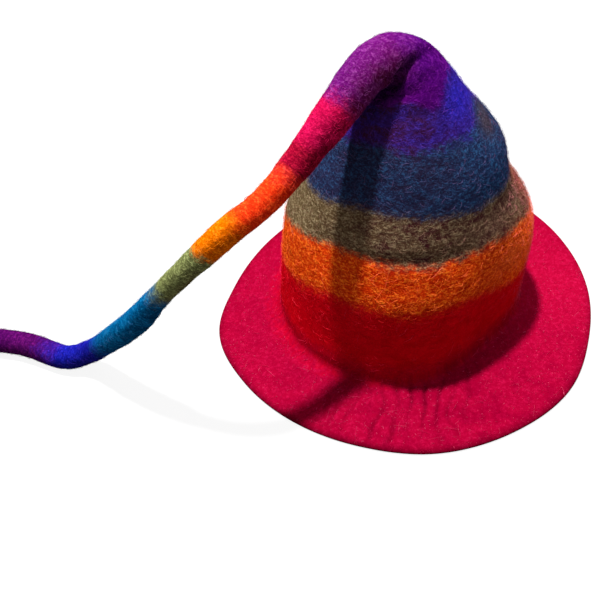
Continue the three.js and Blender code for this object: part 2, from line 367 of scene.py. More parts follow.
def at_rows(table, places, closed=False):
    """Smooth values of a table's columns at fractional row numbers, by Catmull-Rom curves."""
    rows = np.array(table, float)
    count = len(rows)
    places = np.asarray(places, float)
    if closed:
        first = np.floor(places).astype(int)
        before, start, end, after = (rows[(first + k) % count] for k in (-1, 0, 1, 2))
    else:
        first = np.clip(np.floor(places).astype(int), 0, count - 2)
        padded = np.vstack([2 * rows[0] - rows[1], rows, 2 * rows[-1] - rows[-2]])
        before, start, end, after = (padded[first + k] for k in range(4))
    t = (places - first)[:, None]
    leave, arrive = (end - before) / 2, (after - start) / 2
    return ((2 * t ** 3 - 3 * t ** 2 + 1) * start + (t ** 3 - 2 * t ** 2 + t) * leave
            + (3 * t ** 2 - 2 * t ** 3) * end + (t ** 3 - t ** 2) * arrive)


def at_azimuths(table, azimuths):
    """Smooth values of a table whose rows stand at even angles all round."""
    return at_rows(table, azimuths / (2 * np.pi) * len(table), closed=True)


def degrees_from(degrees, middle):
    """How far azimuths lie from a middle one, from -180 to 180 degrees."""
    return (degrees - middle + 180) % 360 - 180


def above_floor(points):
    """Points with none of them under the surface that the hat lies on."""
    points[..., 2] = np.maximum(points[..., 2], 0)
    return points


def unit(vectors):
    """Vectors at length 1."""
    return vectors / np.maximum(np.linalg.norm(vectors, axis=-1, keepdims=True), TINY)


def run_points(places):
    """Points of the middle line at fractional rows."""
    return at_rows(SECTIONS, np.clip(places, 0, LAST_ROW))[:, :3]


def run_tangents(places):
    """Directions of the middle line at fractional rows."""
    return unit(run_points(places + RUN_NUDGE) - run_points(places - RUN_NUDGE))


def even_places():
    """Fractional rows at even distances along the crown and the tail, and how far they are from the foot."""
    fine = np.linspace(0, LAST_ROW, LAST_ROW * FINE_ROWS + 1)
    steps = np.linalg.norm(np.diff(run_points(fine), axis=0), axis=1)
    reach = np.concatenate([[0], np.cumsum(steps)])
    spacing = np.where(fine[1:] < TAIL_ROW, RING_STEP, TAIL_STEP)
    passed = np.concatenate([[0], np.cumsum(steps / spacing)])
    even = np.linspace(0, passed[-1], round(passed[-1]) + 1)
    places = np.interp(even, passed, fine)
    return places, np.interp(places, fine, reach)


def crowded_azimuths():
    """Azimuths all round, closest together at the front of the brim."""
    fine = np.linspace(0, 360, FINE_AZIMUTHS)
    away = degrees_from(fine, FRONT)
    passed = np.cumsum(1 + FRONT_CROWDING * np.exp(-(away / FRONT_SPREAD) ** 2))
    shares = (passed - passed[0]) / (passed[-1] - passed[0])
    return np.radians(np.interp(np.arange(AROUND) / AROUND, shares, fine))


def dent_depth(azimuths, height):
    """How far all dents together push the wall in at one height."""
    depth = np.zeros_like(azimuths)
    for dent in DENTS:
        away = degrees_from(np.degrees(azimuths), dent.azimuth)
        depth += dent.depth * np.exp(-(away / dent.spread) ** 2 - ((height - dent.height) / dent.tall) ** 2)
    return depth


def hold_crease(arms, bend, amount):
    """Keeps the inside of a tight bend from passing through itself, which leaves a crease there."""
    tightness = np.linalg.norm(bend)
    if tightness * amount < STRAIGHT:
        return arms
    inward = bend / tightness
    towards = np.maximum(arms @ inward, 0)
    limit = CREASE_FILL / tightness
    return arms + (amount * (limit * np.tanh(towards / limit) - towards))[:, None] * inward


def body_rings(azimuths):
    """Rings of the crown and the tail with their rows, distances along the run and middles."""
    places, reach = even_places()
    values = at_rows(SECTIONS, places)
    tangents = run_tangents(places)
    ahead, behind = np.minimum(places + BEND_SPAN, LAST_ROW), np.maximum(places - BEND_SPAN, 0)
    spans = np.linalg.norm(run_points(ahead) - run_points(behind), axis=1)[:, None]
    bends = (run_tangents(ahead) - run_tangents(behind)) / spans
    across = np.array([1.0, 0, 0])
    rings = []
    for value, tangent, bend in zip(values, tangents, bends):
        middle, wide, deep, square = value[:3], value[3], value[4], np.clip(value[5], 0, 1)
        normal = unit((1 - square) * np.array([0, 0, 1.0]) + square * tangent)
        across = unit(across - normal * (across @ normal))
        away = np.cross(normal, across)
        arms = wide * np.cos(azimuths)[:, None] * across + deep * np.sin(azimuths)[:, None] * away
        arms = hold_crease(arms, bend, square)
        arms = arms - unit(arms) * ((1 - square) * dent_depth(azimuths, middle[2]))[:, None]
        rings.append(above_floor(middle + arms))
    return np.array(rings), places, reach, values


def brim_rings(foot, azimuths, circle, wall):
    """Rings of the brim's upper side, from its edge in to the foot of the crown, with their rows."""
    rim = at_azimuths(RIM, azimuths)
    top = np.array([0, 0, wall])
    outer = circle * rim[:, :1] + top
    lifts = np.maximum(rim[:, 1], 0)
    corners = foot * np.array([1, 1, 0]) + top
    inner = corners + circle * rim[:, 2:]
    rings, rows = [], []
    for share in np.linspace(0, 1, BRIM_STEPS + 1):
        curl = max(1 - share / (1 - BRIM_FLAT), 0) ** 2
        ring = outer + (inner - outer) * share
        ring[:, 2] += lifts * curl
        rings.append(ring)
        rows.append(RIM_ROW * (1 - share) + share * BEND_ROW)
    for share in np.arange(1, FOOT_STEPS) / FOOT_STEPS:
        bend = (1 - share) ** 2 * inner + 2 * share * (1 - share) * corners + share ** 2 * foot
        rings.append(bend)
        rows.append(BEND_ROW * (1 - share))
    return np.array(rings), np.array(rows)


def tip_rings(ring, middle, along, radius):
    """A half-round end on the last ring of the tail, down to a point."""
    turns = np.arange(1, TIP_STEPS + 1) / TIP_STEPS * np.pi / 2
    arms = ring - middle
    return np.array([middle + along * radius * np.sin(turn) + arms * np.cos(turn) for turn in turns])


def normals_of(rings):
    """Outward normals of a stack of rings."""
    around = np.roll(rings, -1, 1) - np.roll(rings, 1, 1)
    up = np.gradient(rings, axis=0)
    return unit(np.cross(around, up))


def uneven(points, lumps):
    """Smooth unevenness from -1 to 1 at points, with lumps of about a size."""
    shift = Vector([lumps.seed * part for part in NOISE_SHIFT])
    flat = points.reshape(-1, 3) / lumps.size
    values = [noise.noise(Vector(p) + shift) for p in flat]
    return np.array(values).reshape(points.shape[:-1])


def soft_step(values, low, high):
    """A smooth step from 0 to 1."""
    t = np.clip((values - low) / (high - low), 0, 1)
    return t * t * (3 - 2 * t)


def brim_ribs(points, rows):
    """Height, down to -1, of the soft uneven ribs in the front of the brim and the creases between them."""
    away = points[..., :2] - RIB_CENTRE
    angle = np.degrees(np.arctan2(away[..., 0], -away[..., 1]))
    phase = angle / RIB_PITCH + RIB_WANDER * uneven(points, RIB_BENDS)
    crease = np.exp(-(np.sin(np.pi * phase) / RIB_CREASE) ** 2)
    mean, variation = RIB_STRENGTH
    strength = np.clip(mean + variation * uneven(points * RIB_GRAIN, RIB_BREAKS), 0, 1)
    zone = np.exp(-((points[..., 0] - RIB_MIDDLE) / RIB_REACH) ** 2) * soft_step(-points[..., 1], *RIB_FRONT)
    start, *end = RIB_ROWS
    on_brim = soft_step(rows, RIM_ROW, RIM_ROW + start) * (1 - soft_step(rows, *end))
    return (RIB_SWELL - (1 + RIB_SWELL) * crease) * strength * zone * on_brim[:, None]


def crease_shift(points, normals):
    """How far the crease under the fold moves points along their normals, and how far they are from it.

    The crease has a steep wall and a long slope.
    """
    path = np.array(CREASE, float)
    nearest = np.full(len(points), np.inf)
    shift = np.zeros(len(points))
    for start, end in zip(path[:-1], path[1:]):
        leg = end[:3] - start[:3]
        share = np.clip((points - start[:3]) @ leg / (leg @ leg), 0, 1)
        away = points - start[:3] - share[:, None] * leg
        side = np.einsum("ij,ij->i", away, unit(np.cross(normals, leg)))
        reach = np.where(side > 0, CREASE_SLOPE, CREASE_WALL)
        distance = np.linalg.norm(away, axis=1)
        depth = start[3] + share * (end[3] - start[3])
        closer = distance < nearest
        shift[closer] = (-depth * np.exp(-(distance / reach) ** 2))[closer]
        nearest = np.minimum(nearest, distance)
    return shift, nearest


def band_places(rows, azimuths):
    """Place of every point of a stack of rings in the bands: its whole part counts the edges passed."""
    crown = at_azimuths(CROWN_EDGES, azimuths)
    places = np.empty(rows.shape)
    count = np.arange(len(BANDS) + 1)
    for j, edges in enumerate(crown):
        ends = [RIM_ROW, FOOT_ROW, *edges, *TAIL_EDGES, LAST_ROW + 1]
        places[:, j] = np.interp(rows[:, j], ends, count)
    return places


def stain_layers(rows, azimuths, wander):
    """Colour and strength of the stains at every point of a stack of rings."""
    colour = np.zeros((*rows.shape, 3))
    strength = np.full(rows.shape, FAINTEST)
    for stain in STAINS:
        away = degrees_from(np.degrees(azimuths), stain.azimuth)
        amount = stain.amount * np.exp(-(away / stain.spread) ** 2 - ((rows - stain.row) / stain.tall) ** 2)
        amount = amount * np.clip(1 + STAIN_PATCHINESS * wander, 0, STAIN_PATCH_LIMIT)
        colour += amount[..., None] * np.array(linear(stain.colour))
        strength += amount
    return colour / strength[..., None], np.clip(strength, 0, 1)


def grid_mesh(name, rings, attributes):
    """A closed mesh through a stack of rings whose first and last have shrunk to a point."""
    count, around = rings.shape[:2]
    body = rings[1:-1].reshape(-1, 3)
    points = np.vstack([rings[:1, 0], body, rings[-1:, 0]])
    index = 1 + np.arange((count - 2) * around).reshape(count - 2, around)
    turned = np.roll(index, -1, 1)
    quads = np.stack([index[:-1], turned[:-1], turned[1:], index[1:]], -1).reshape(-1, 4)
    first, last = np.zeros(around, int), np.full(around, len(points) - 1)
    low = np.stack([first, turned[0], index[0]], 1)
    high = np.stack([index[-1], turned[-1], last], 1)
    faces = [*map(tuple, low), *map(tuple, quads), *map(tuple, high)]
    mesh = bpy.data.meshes.new(name)
    mesh.from_pydata(points, [], faces)
    mesh.polygons.foreach_set("use_smooth", np.ones(len(mesh.polygons), bool))
    for key, values in attributes.items():
        flat = np.concatenate([values[:1, 0], values[1:-1].reshape(-1, *values.shape[2:]), values[-1:, 0]])
        kind, field = ("FLOAT_VECTOR", "vector") if values.ndim == 3 else ("FLOAT", "value")
        layer = mesh.attributes.new(key, kind, "POINT")
        layer.data.foreach_set(field, flat.astype(np.float32).ravel())
    unwrap_grid(mesh, count, around)
    mesh.update()
    return mesh


def unwrap_grid(mesh, count, around):
    """A map with one column for each point of a ring and one line for each ring."""
    zones = ((FIRST_CORNERS, [0]), (CORNERS, range(1, count - 2)), (LAST_CORNERS, [count - 2]))
    places = [
        ((column + across) / around, (line + up) / (count - 1))
        for corners, lines in zones
        for line in lines
        for column in range(around)
        for across, up in corners
    ]
    layer = mesh.uv_layers.new(name="OFBake")
    layer.data.foreach_set("uv", np.array(places, np.float32).ravel())


def unroll(brim, reach, values, circle):
    """Places in the felt unrolled: flat on the brim, and round a straight run on the crown and the tail."""
    girth = (values[:, 3] + values[:, 4]) / 2
    along = np.concatenate([np.zeros(len(brim)), reach, np.full(TIP_STEPS, reach[-1])])
    radius = np.concatenate([np.zeros(len(brim)), girth, np.full(TIP_STEPS, girth[-1])])
    unrolled = radius[:, None, None] * circle + along[:, None, None] * np.array([0, 0, 1])
    unrolled[:len(brim)] = brim * np.array([1, 1, 0])
    return unrolled


def closing_rings(inner):
    """Rings that close the top of the hollow in a low dome."""
    peak = inner[-1].mean(0) + normals_of(inner)[-1].mean(0)
    shares = np.sin(np.arange(1, CLOSING_STEPS + 1) / CLOSING_STEPS * np.pi / 2)
    return np.array([inner[-1] + (peak - inner[-1]) * share for share in shares])


def edge_rings(upper, lower, circle, wall):
    """A half-round edge between the outermost rings of the brim's upper and lower sides."""
    turns = np.arange(1, EDGE_STEPS) / EDGE_STEPS * np.pi
    half, centre = (upper - lower) / 2, (upper + lower) / 2
    return np.array([centre - half * np.cos(turn) + circle * wall / 2 * np.sin(turn) for turn in turns])


def mottle_shares(places, azimuths):
    """How strongly the second colour, partly painted shade, shows at every point of a stack of rings."""
    shares = np.clip(at_azimuths(MOTTLE_AND_PAINTED_SHADE, azimuths), 0, 1).T
    mottled = shares[0]
    for step, before, after in zip(MOTTLE_STEPS, shares[:-1], shares[1:]):
        mottled = mottled + (after - before) * soft_step(places, step, step + MOTTLE_FADE)
    return mottled


def felt_mesh(form):
    """The felt's mesh in metres, with attributes for its dye and its fibres."""
    wall = form.wall / MM
    azimuths = crowded_azimuths()
    circle = np.stack([np.cos(azimuths), np.sin(azimuths), np.zeros(AROUND)], 1)
    body, body_rows, reach, values = body_rings(azimuths)
    brim, brim_rows = brim_rings(body[0], azimuths, circle, wall)
    end_direction = run_tangents(np.array([LAST_ROW - 2 * RUN_NUDGE]))[0]
    tip = tip_rings(body[-1], values[-1, :3], end_direction, SECTIONS[-1].wide)
    outer = np.concatenate([brim, body, tip])
    rows = np.concatenate([brim_rows, body_rows, np.full(TIP_STEPS, float(LAST_ROW))])
    unrolled = unroll(brim, reach, values, circle)
    normals = normals_of(outer)

    hollow_count = len(brim) + int(np.searchsorted(body_rows, HOLLOW_ROW))
    hollow = np.arange(0, hollow_count, HOLLOW_STRIDE)
    inner = above_floor(outer[hollow] - normals[hollow] * wall)
    under = np.concatenate([inner, closing_rings(inner)])

    wander = uneven(unrolled, BAND_WAVES) + RIPPLE_SHARE * uneven(unrolled, BAND_RIPPLES)
    grid_rows = rows[:, None] + BAND_WANDER * wander * (rows > FOOT_ROW)[:, None]
    places = band_places(grid_rows, azimuths)
    hairy = soft_step(places, *HAIRY_BANDS)
    ribs = brim_ribs(brim, brim_rows)
    creased = (rows > CREASE_ROWS[0]) & (rows < CREASE_ROWS[1])
    fold, from_crease = crease_shift(outer[creased].reshape(-1, 3), normals[creased].reshape(-1, 3))

    lumpy = SMOOTH_LUMPS + (1 - SMOOTH_LUMPS) * hairy
    pebbled = SMOOTH_PEBBLES + (1 - SMOOTH_PEBBLES) * hairy
    bump = form.lumps / MM * uneven(unrolled, BROAD_LUMPS) * lumpy
    bump += form.pebbles / MM * uneven(unrolled, PEBBLES) * pebbled
    bump[:len(brim)] += form.ribs / MM * ribs
    bump[creased] += fold.reshape(-1, AROUND)
    bump[-TIP_STEPS:] = bump[-TIP_STEPS - 1]
    outer = above_floor(outer + normals * bump[:, :, None])
    outer[-1] = outer[-1].mean(0)
    edge = edge_rings(outer[0], inner[0], circle, wall)

    # Painted shade: darker felt in the creases between the brim's ribs, along the brim's front edge and along
    # the crease under the fold.
    groove = np.zeros_like(bump)
    # painted shade in the creases between the brim's ribs
    groove[:len(brim)] = np.maximum(-ribs, 0)
    # painted shade along the brim's edge, strongest at the front and gone at the back
    groove[:len(RIM_PAINTED_SHADE)] += np.array(RIM_PAINTED_SHADE)[:, None] * (1 - np.sin(azimuths)) / 2
    # painted shade on both sides of the crease, where the fold shades the felt
    groove[creased] = np.exp(-(from_crease / CREASE_PAINTED_SHADE) ** 2).reshape(-1, AROUND)
    stain, stained = stain_layers(grid_rows, azimuths, wander)
    layers = {
        "band": places,
        "unrolled": unrolled * MM,
        "hairy": hairy,
        "mottled": mottle_shares(places, azimuths),
        "stain": stain,
        "stained": stained,
        "groove": groove,
        "tail": soft_step(rows, *TAIL_FADE)[:, None] * np.ones(AROUND),
    }
    # each ring of the whole mesh takes its values from the ring of the outside that it lies behind
    source = np.concatenate([np.append(hollow, np.full(CLOSING_STEPS, hollow[-1]))[::-1],
                             np.zeros(len(edge), int), np.arange(len(outer))])
    attributes = {name: layer[source] for name, layer in layers.items()}
    is_outside = np.arange(len(source)) >= len(source) - len(outer)
    attributes["outside"] = is_outside[:, None] * np.ones(AROUND)
    rings = np.concatenate([under[::-1], edge, outer]) * MM
    return grid_mesh("wool_felt", rings, attributes)


# Node trees

NODES_IN_LINE = 8  # nodes stand in lines, in the order in which they are made
NODE_WIDTH, NODE_HEIGHT = 220, 320
MIX_INPUTS = (0, 6, 7)  # sockets of a colour mix: its factor and its two colours
MIX_RESULT = 2
RANDOM_RESULTS = {"FLOAT_VECTOR": 0, "FLOAT": 1}  # sockets of a random value, each with a pair of limits
NOISE_MEAN = 0.5


def set_inputs(tree, made, inputs):
    """Joins a node's inputs to sockets, or sets them to plain values."""
    for key, value in inputs.items():
        if isinstance(value, bpy.types.NodeSocket):
            tree.links.new(value, made.inputs[key])
        else:
            made.inputs[key].default_value = value


def node(tree, kind, inputs, **settings):
    """A new node with its settings and its inputs, in the next free place."""
    line, column = divmod(len(tree.nodes), NODES_IN_LINE)
    made = tree.nodes.new(kind)
    made.location = ((column - NODES_IN_LINE) * NODE_WIDTH, -line * NODE_HEIGHT)
    for key, value in settings.items():
        setattr(made, key, value)
    set_inputs(tree, made, inputs)
    return made


def add_sockets(tree, side, **kinds):
    """Gives a group its inputs or its outputs, each with its kind of socket."""
    for name, kind in kinds.items():
        tree.interface.new_socket(name, in_out=side, socket_type=f"NodeSocket{kind}")


def math_node(tree, operation, *values):
    """A maths node whose inputs are sockets or numbers."""
    return node(tree, "ShaderNodeMath", dict(enumerate(values)), operation=operation).outputs[0]


def vector_math(tree, operation, inputs):
    """A maths node for vectors."""
    return node(tree, "ShaderNodeVectorMath", inputs, operation=operation).outputs[0]


def mix(tree, factor, first, second, blend="MIX"):
    """A mix of two colours."""
    inputs = dict(zip(MIX_INPUTS, (factor, first, second)))
    return node(tree, "ShaderNodeMix", inputs, data_type="RGBA", blend_type=blend).outputs[MIX_RESULT]


def read(tree, name, field="Fac"):
    """An attribute of the piece's own mesh."""
    return node(tree, "ShaderNodeAttribute", {}, attribute_name=name).outputs[field]


def random_value(tree, kind, low, high, seed):
    """A random number or vector for each point, between two limits."""
    result = RANDOM_RESULTS[kind]
    inputs = {2 * result: low, 2 * result + 1: high, "Seed": seed}
    return node(tree, "FunctionNodeRandomValue", inputs, data_type=kind).outputs[result]


# Materials

Grain = namedtuple("Grain", "across along detail twist")
# Grain of the wool in metres, round the hat and along its run, and how ragged and how twisted it is.
FRAY = Grain(0.0035, 0.0016, 2, 0)
PATCHES = Grain(0.015, 0.009, 3, 0.8)
STREAKS = Grain(0.0036, 0.0017, 3, 0.6)
CURLS = Grain(0.0012, 0.0009, 3, 0.7)
FRAY_DEPTH = 0.28  # how far the edges of the bands fray, in bands
PATCH_RANGE = (0.42, 0.62)  # noise between which a patch of the second colour sets in
PATCH_LEAST = 0.6  # share of the second colour between its patches
MATTED_RANGE = (0.72, 1.28)  # streaks and curls together, from the lowest to the highest wool
FLECK_RANGE = (0.98, 1.25)  # streaks and curls together, where a fleck sets in
FLECKS_LOST = 0.7  # share of the flecks that a patch hides
SMOOTH_SHADE = 0.12  # how much lighter the highest wool of smooth felt is than the lowest
HAIRY_SHADE = 0.45  # how much more than that it is on hairy felt
PAINTED_SHADE_STRENGTH = 0.45  # how much darker the painted shade makes the felt, for each unit of it
ROUGHNESS = 0.98  # of the lowest wool
HIGH_WOOL_GLOSS = 0.12  # how much less rough the highest wool is
RELIEF_STRENGTH = 0.4  # of the matted wool
RELIEF_HEIGHT = 0.0007  # metres
FIBRE_ROUGHNESS = 0.8
FIBRE_FLECK = 0.4  # share of the fleck's colour in a loose fibre
PALE_WOOL = (0.9, 0.14, 0.28, 1)  # colour that the few light fibres turn to
# Attributes of the mesh that the dye takes, each with the output that holds it.
DYE_FIELDS = {"band": "Fac", "unrolled": "Vector", "stain": "Vector", "stained": "Fac"}


def fill_ramp(ramp, colours):
    """Sets a colour ramp to the bands of colour with their soft edges."""
    count = len(colours)
    stops = []
    for i, (band, colour) in enumerate(zip(BANDS, colours)):
        low = 0 if i == 0 else (i + band.soft) / count
        high = 1 if i == count - 1 else (i + 1 - BAND_FADE) / count
        stops += [(low, colour), (high, colour)]
    while len(ramp.elements) < len(stops):
        ramp.elements.new(1)
    for element, (place, colour) in zip(ramp.elements, stops):
        element.position = place
        element.color = colour


def stretched_noise(tree, vector, grain):
    """Noise in the unrolled felt with one grain size round the hat and one along its run."""
    scale = (1 / grain.across, 1 / grain.across, 1 / grain.along)
    place = vector_math(tree, "MULTIPLY", {0: vector, 1: scale})
    inputs = {"Vector": place, "Scale": 1, "Detail": grain.detail, "Distortion": grain.twist}
    return node(tree, "ShaderNodeTexNoise", inputs).outputs["Fac"]


def spread_out(tree, value, limits):
    """A value spread from a narrow range to 0 to 1."""
    low, high = limits
    inputs = {"Value": value, "From Min": low, "From Max": high}
    return node(tree, "ShaderNodeMapRange", inputs).outputs["Result"]


def dye_group(dye):
    """The shared dye: colours of wool, patches and flecks at a place in the bands, with the stains."""
    tree = bpy.data.node_groups.new("Wool dye", "ShaderNodeTree")
    add_sockets(tree, "INPUT", Band="Float", Unrolled="Vector", Stain="Vector", Stained="Float")
    add_sockets(tree, "OUTPUT", Colour="Color", Mottle="Color", Fleck="Color", Amount="Float")
    given = node(tree, "NodeGroupInput", {}).outputs
    fray = stretched_noise(tree, given["Unrolled"], FRAY)
    fray = math_node(tree, "SUBTRACT", fray, NOISE_MEAN)
    fray = math_node(tree, "MULTIPLY", fray, FRAY_DEPTH)
    place = math_node(tree, "ADD", given["Band"], fray)
    place = math_node(tree, "DIVIDE", place, len(BANDS))
    results = {}
    for layer, name, tone in zip(DYE_LAYERS, ("Colour", "Mottle", "Fleck"), STAIN_TONES):
        ramp = node(tree, "ShaderNodeValToRGB", {"Fac": place})
        fill_ramp(ramp.color_ramp, [(*getattr(dye, f"{band.name}_{layer}"), band.amount) for band in BANDS])
        stain = vector_math(tree, "SCALE", {0: given["Stain"], "Scale": tone})
        results[name] = mix(tree, given["Stained"], ramp.outputs["Color"], stain)
    results["Amount"] = ramp.outputs["Alpha"]
    node(tree, "NodeGroupOutput", results)
    return tree


def wool(name, dye_tree):
    """A new material with the shared dye, which reads attributes of the piece's own mesh."""
    material = bpy.data.materials.new(name)
    material.use_nodes = True
    tree = material.node_tree
    inputs = {key.capitalize(): read(tree, key, field) for key, field in DYE_FIELDS.items()}
    return material, tree, node(tree, "ShaderNodeGroup", inputs, node_tree=dye_tree).outputs


def felt_material(dye_tree):
    """Fulled wool: dye with flecks, and matted fibres in its colour, its relief and its roughness."""
    material, tree, dye = wool("wool_felt", dye_tree)
    unrolled = read(tree, "unrolled", "Vector")
    hairy, mottled, groove = (read(tree, name) for name in ("hairy", "mottled", "groove"))

    patches = stretched_noise(tree, unrolled, PATCHES)
    patches = spread_out(tree, patches, PATCH_RANGE)
    patches = math_node(tree, "MULTIPLY_ADD", patches, 1 - PATCH_LEAST, PATCH_LEAST)
    # the second colour, part mottling and part painted shade, shows by the attribute's share
    patches = math_node(tree, "MULTIPLY", patches, mottled)
    streaks = stretched_noise(tree, unrolled, STREAKS)
    curls = stretched_noise(tree, unrolled, CURLS)
    strands = math_node(tree, "ADD", streaks, curls)
    matted = spread_out(tree, strands, MATTED_RANGE)
    flecks = spread_out(tree, strands, FLECK_RANGE)
    flecks = math_node(tree, "MULTIPLY", flecks, dye["Amount"])
    unpatched = math_node(tree, "MULTIPLY_ADD", patches, -FLECKS_LOST, 1)
    flecks = math_node(tree, "MULTIPLY", flecks, unpatched)
    colour = mix(tree, patches, dye["Colour"], dye["Mottle"])
    colour = mix(tree, flecks, colour, dye["Fleck"])

    depth = math_node(tree, "MULTIPLY_ADD", hairy, HAIRY_SHADE, SMOOTH_SHADE)
    shade = math_node(tree, "SUBTRACT", matted, NOISE_MEAN)
    shade = math_node(tree, "MULTIPLY", shade, depth)
    shade = math_node(tree, "ADD", shade, 1)
    # painted shade from the mesh darkens the wool
    painted_dark = math_node(tree, "MULTIPLY", groove, PAINTED_SHADE_STRENGTH)
    shade = math_node(tree, "SUBTRACT", shade, painted_dark)
    grey = node(tree, "ShaderNodeCombineColor", dict.fromkeys(("Red", "Green", "Blue"), shade))
    colour = mix(tree, 1, colour, grey.outputs[0], "MULTIPLY")

    height = math_node(tree, "MULTIPLY", matted, hairy)
    relief = {"Height": height, "Strength": RELIEF_STRENGTH, "Distance": RELIEF_HEIGHT}
    set_inputs(tree, tree.nodes["Principled BSDF"], {
        "Base Color": colour,
        "Roughness": math_node(tree, "MULTIPLY_ADD", matted, -HIGH_WOOL_GLOSS, ROUGHNESS),
        "Specular IOR Level": 0,
        "Normal": node(tree, "ShaderNodeBump", relief).outputs["Normal"],
    })
    return material


def fibre_material(dye_tree):
    """Loose fibres in the colour of the wool that they come from, some of them paler."""
    material, tree, dye = wool("loose_fibre", dye_tree)
    colour = mix(tree, FIBRE_FLECK, dye["Colour"], dye["Fleck"])
    colour = mix(tree, read(tree, "pale"), colour, PALE_WOOL)
    set_inputs(tree, tree.nodes["Principled BSDF"], {
        "Base Color": colour, "Roughness": FIBRE_ROUGHNESS, "Specular IOR Level": 0})
    return material


# Loose fibres

FIBRE_STEPS = 4  # straight pieces along a fibre
FIBRE_ENDS = 2  # points across a fibre
ArcPoint = namedtuple("ArcPoint", "name along up")
# The arc of a fibre, in shares of its length and its lift.
FIBRE_ARC = (
    ArcPoint("Start", -0.5, 0.0),
    ArcPoint("Start Handle", -0.2, 1.3),
    ArcPoint("End Handle", 0.25, 1.3),
    ArcPoint("End", 0.5, 0.2),
)
FIBRE_TURNS = (0.15, 0.15, math.pi)  # radians that a fibre may lean to either side, and be spun
FIBRE_SIZES = (0.45, 1.5)  # the smallest fibre and the largest, in shares of the common size
PALE_POWER = 4  # the higher, the fewer fibres are pale
CURL_GRAIN = 260  # bends of the fibres in a metre
CELL_MARGIN = 0.2  # share of a fibre's cell in its map that stays free on each side
PER_CENTIMETRE = 1e4  # square centimetres in a square metre
FibreZone = namedtuple("FibreZone", "name count pale length width lift")
# The setting with the zone's count, how pale its few light fibres are, and its shares of the common length,
# width and lift.
FIBRE_ZONES = (
    FibreZone("brim_fibres", "brim_count", 0.4, 0.3, 2.0, 0.3),
    FibreZone("crown_fibres", "crown_count", 0.12, 0.9, 1.0, 1.0),
    FibreZone("tail_fibres", "tail_count", 0.05, 0.7, 1.0, 0.45),
    FibreZone("stray_hairs", "stray_count", 0.3, 2.0, 1.1, 0.9),
    FibreZone("side_veil", "veil_count", 0.5, 1.1, 0.7, 1.5),
)
CROWN_BAND = 1  # place in the bands where the crown starts
SPARSE_FUZZ = 0.3  # share of the crown's fibres that its smooth felt has
STRAY_END = 3  # place in the bands where the stray hairs end
VEIL_END = 3.7  # place in the bands where the veil of fuzz at the hat's side ends
VEIL_AZIMUTH = 356  # degrees round to the middle of the veil
VEIL_SPREAD = 18  # degrees to either side over which it thins out


def fibre_tree():
    """Geometry nodes that lay fibres on a mesh: thin ribbons that leave the felt and come back to it."""
    tree = bpy.data.node_groups.new("Loose fibres", "GeometryNodeTree")
    numbers = dict.fromkeys(("Density", "Length", "Width", "Lift", "Curl", "Pale", "Share"), "Float")
    add_sockets(tree, "INPUT", Geometry="Geometry", **numbers, Seed="Int", Material="Material")
    add_sockets(tree, "OUTPUT", Geometry="Geometry")
    given = node(tree, "NodeGroupInput", {}).outputs

    density = math_node(tree, "MULTIPLY", given["Density"], given["Share"])
    scatter = node(tree, "GeometryNodeDistributePointsOnFaces", {
        "Mesh": given["Geometry"], "Density": density, "Seed": given["Seed"]}).outputs
    pale = random_value(tree, "FLOAT", 0, 1, given["Seed"])
    pale = math_node(tree, "POWER", pale, PALE_POWER)
    pale = math_node(tree, "MULTIPLY", pale, given["Pale"])
    marked = node(tree, "GeometryNodeStoreNamedAttribute", {
        "Geometry": scatter["Points"], "Name": "pale", "Value": pale}, data_type="FLOAT", domain="POINT")

    arc = {"Resolution": FIBRE_STEPS}
    for point in FIBRE_ARC:
        along = math_node(tree, "MULTIPLY", given["Length"], point.along)
        up = math_node(tree, "MULTIPLY", given["Lift"], point.up)
        arc[point.name] = node(tree, "ShaderNodeCombineXYZ", {"X": along, "Z": up}).outputs[0]
    curve = node(tree, "GeometryNodeCurvePrimitiveBezierSegment", arc, mode="POSITION")
    across = node(tree, "ShaderNodeCombineXYZ", {"X": given["Width"], "Y": given["Width"]})
    profile = node(tree, "GeometryNodeCurvePrimitiveLine", {"End": across.outputs[0]})
    ribbon = node(tree, "GeometryNodeCurveToMesh", {
        "Curve": curve.outputs[0], "Profile Curve": profile.outputs[0]})

    least = tuple(-turn for turn in FIBRE_TURNS)
    spin = random_value(tree, "FLOAT_VECTOR", least, FIBRE_TURNS, given["Seed"])
    turned = node(tree, "FunctionNodeRotateRotation", {
        "Rotation": scatter["Rotation"], "Rotate By": spin}, rotation_space="LOCAL")
    size = random_value(tree, "FLOAT", *FIBRE_SIZES, given["Seed"])
    laid = node(tree, "GeometryNodeInstanceOnPoints", {
        "Points": marked.outputs[0], "Instance": ribbon.outputs[0],
        "Rotation": turned.outputs[0], "Scale": size})
    real = node(tree, "GeometryNodeRealizeInstances", {0: laid.outputs[0]})

    wander = node(tree, "ShaderNodeTexNoise", {"Scale": CURL_GRAIN, "Detail": 0}).outputs["Color"]
    wander = vector_math(tree, "SUBTRACT", {0: wander, 1: (NOISE_MEAN, NOISE_MEAN, NOISE_MEAN)})
    wander = vector_math(tree, "SCALE", {0: wander, "Scale": given["Curl"]})
    moved = node(tree, "GeometryNodeSetPosition", {"Geometry": real.outputs[0], "Offset": wander})
    dressed = node(tree, "GeometryNodeSetMaterial", {
        "Geometry": moved.outputs[0], "Material": given["Material"]})
    node(tree, "NodeGroupOutput", {0: dressed.outputs[0]})
    return tree


def socket_ids(tree):
    """Identifiers of a tree's inputs by name."""
    return {item.name: item.identifier for item in tree.interface.items_tree if item.in_out == "INPUT"}


def show(obj):
    """Puts an object in the scene."""
    bpy.context.scene.collection.objects.link(obj)
    return obj


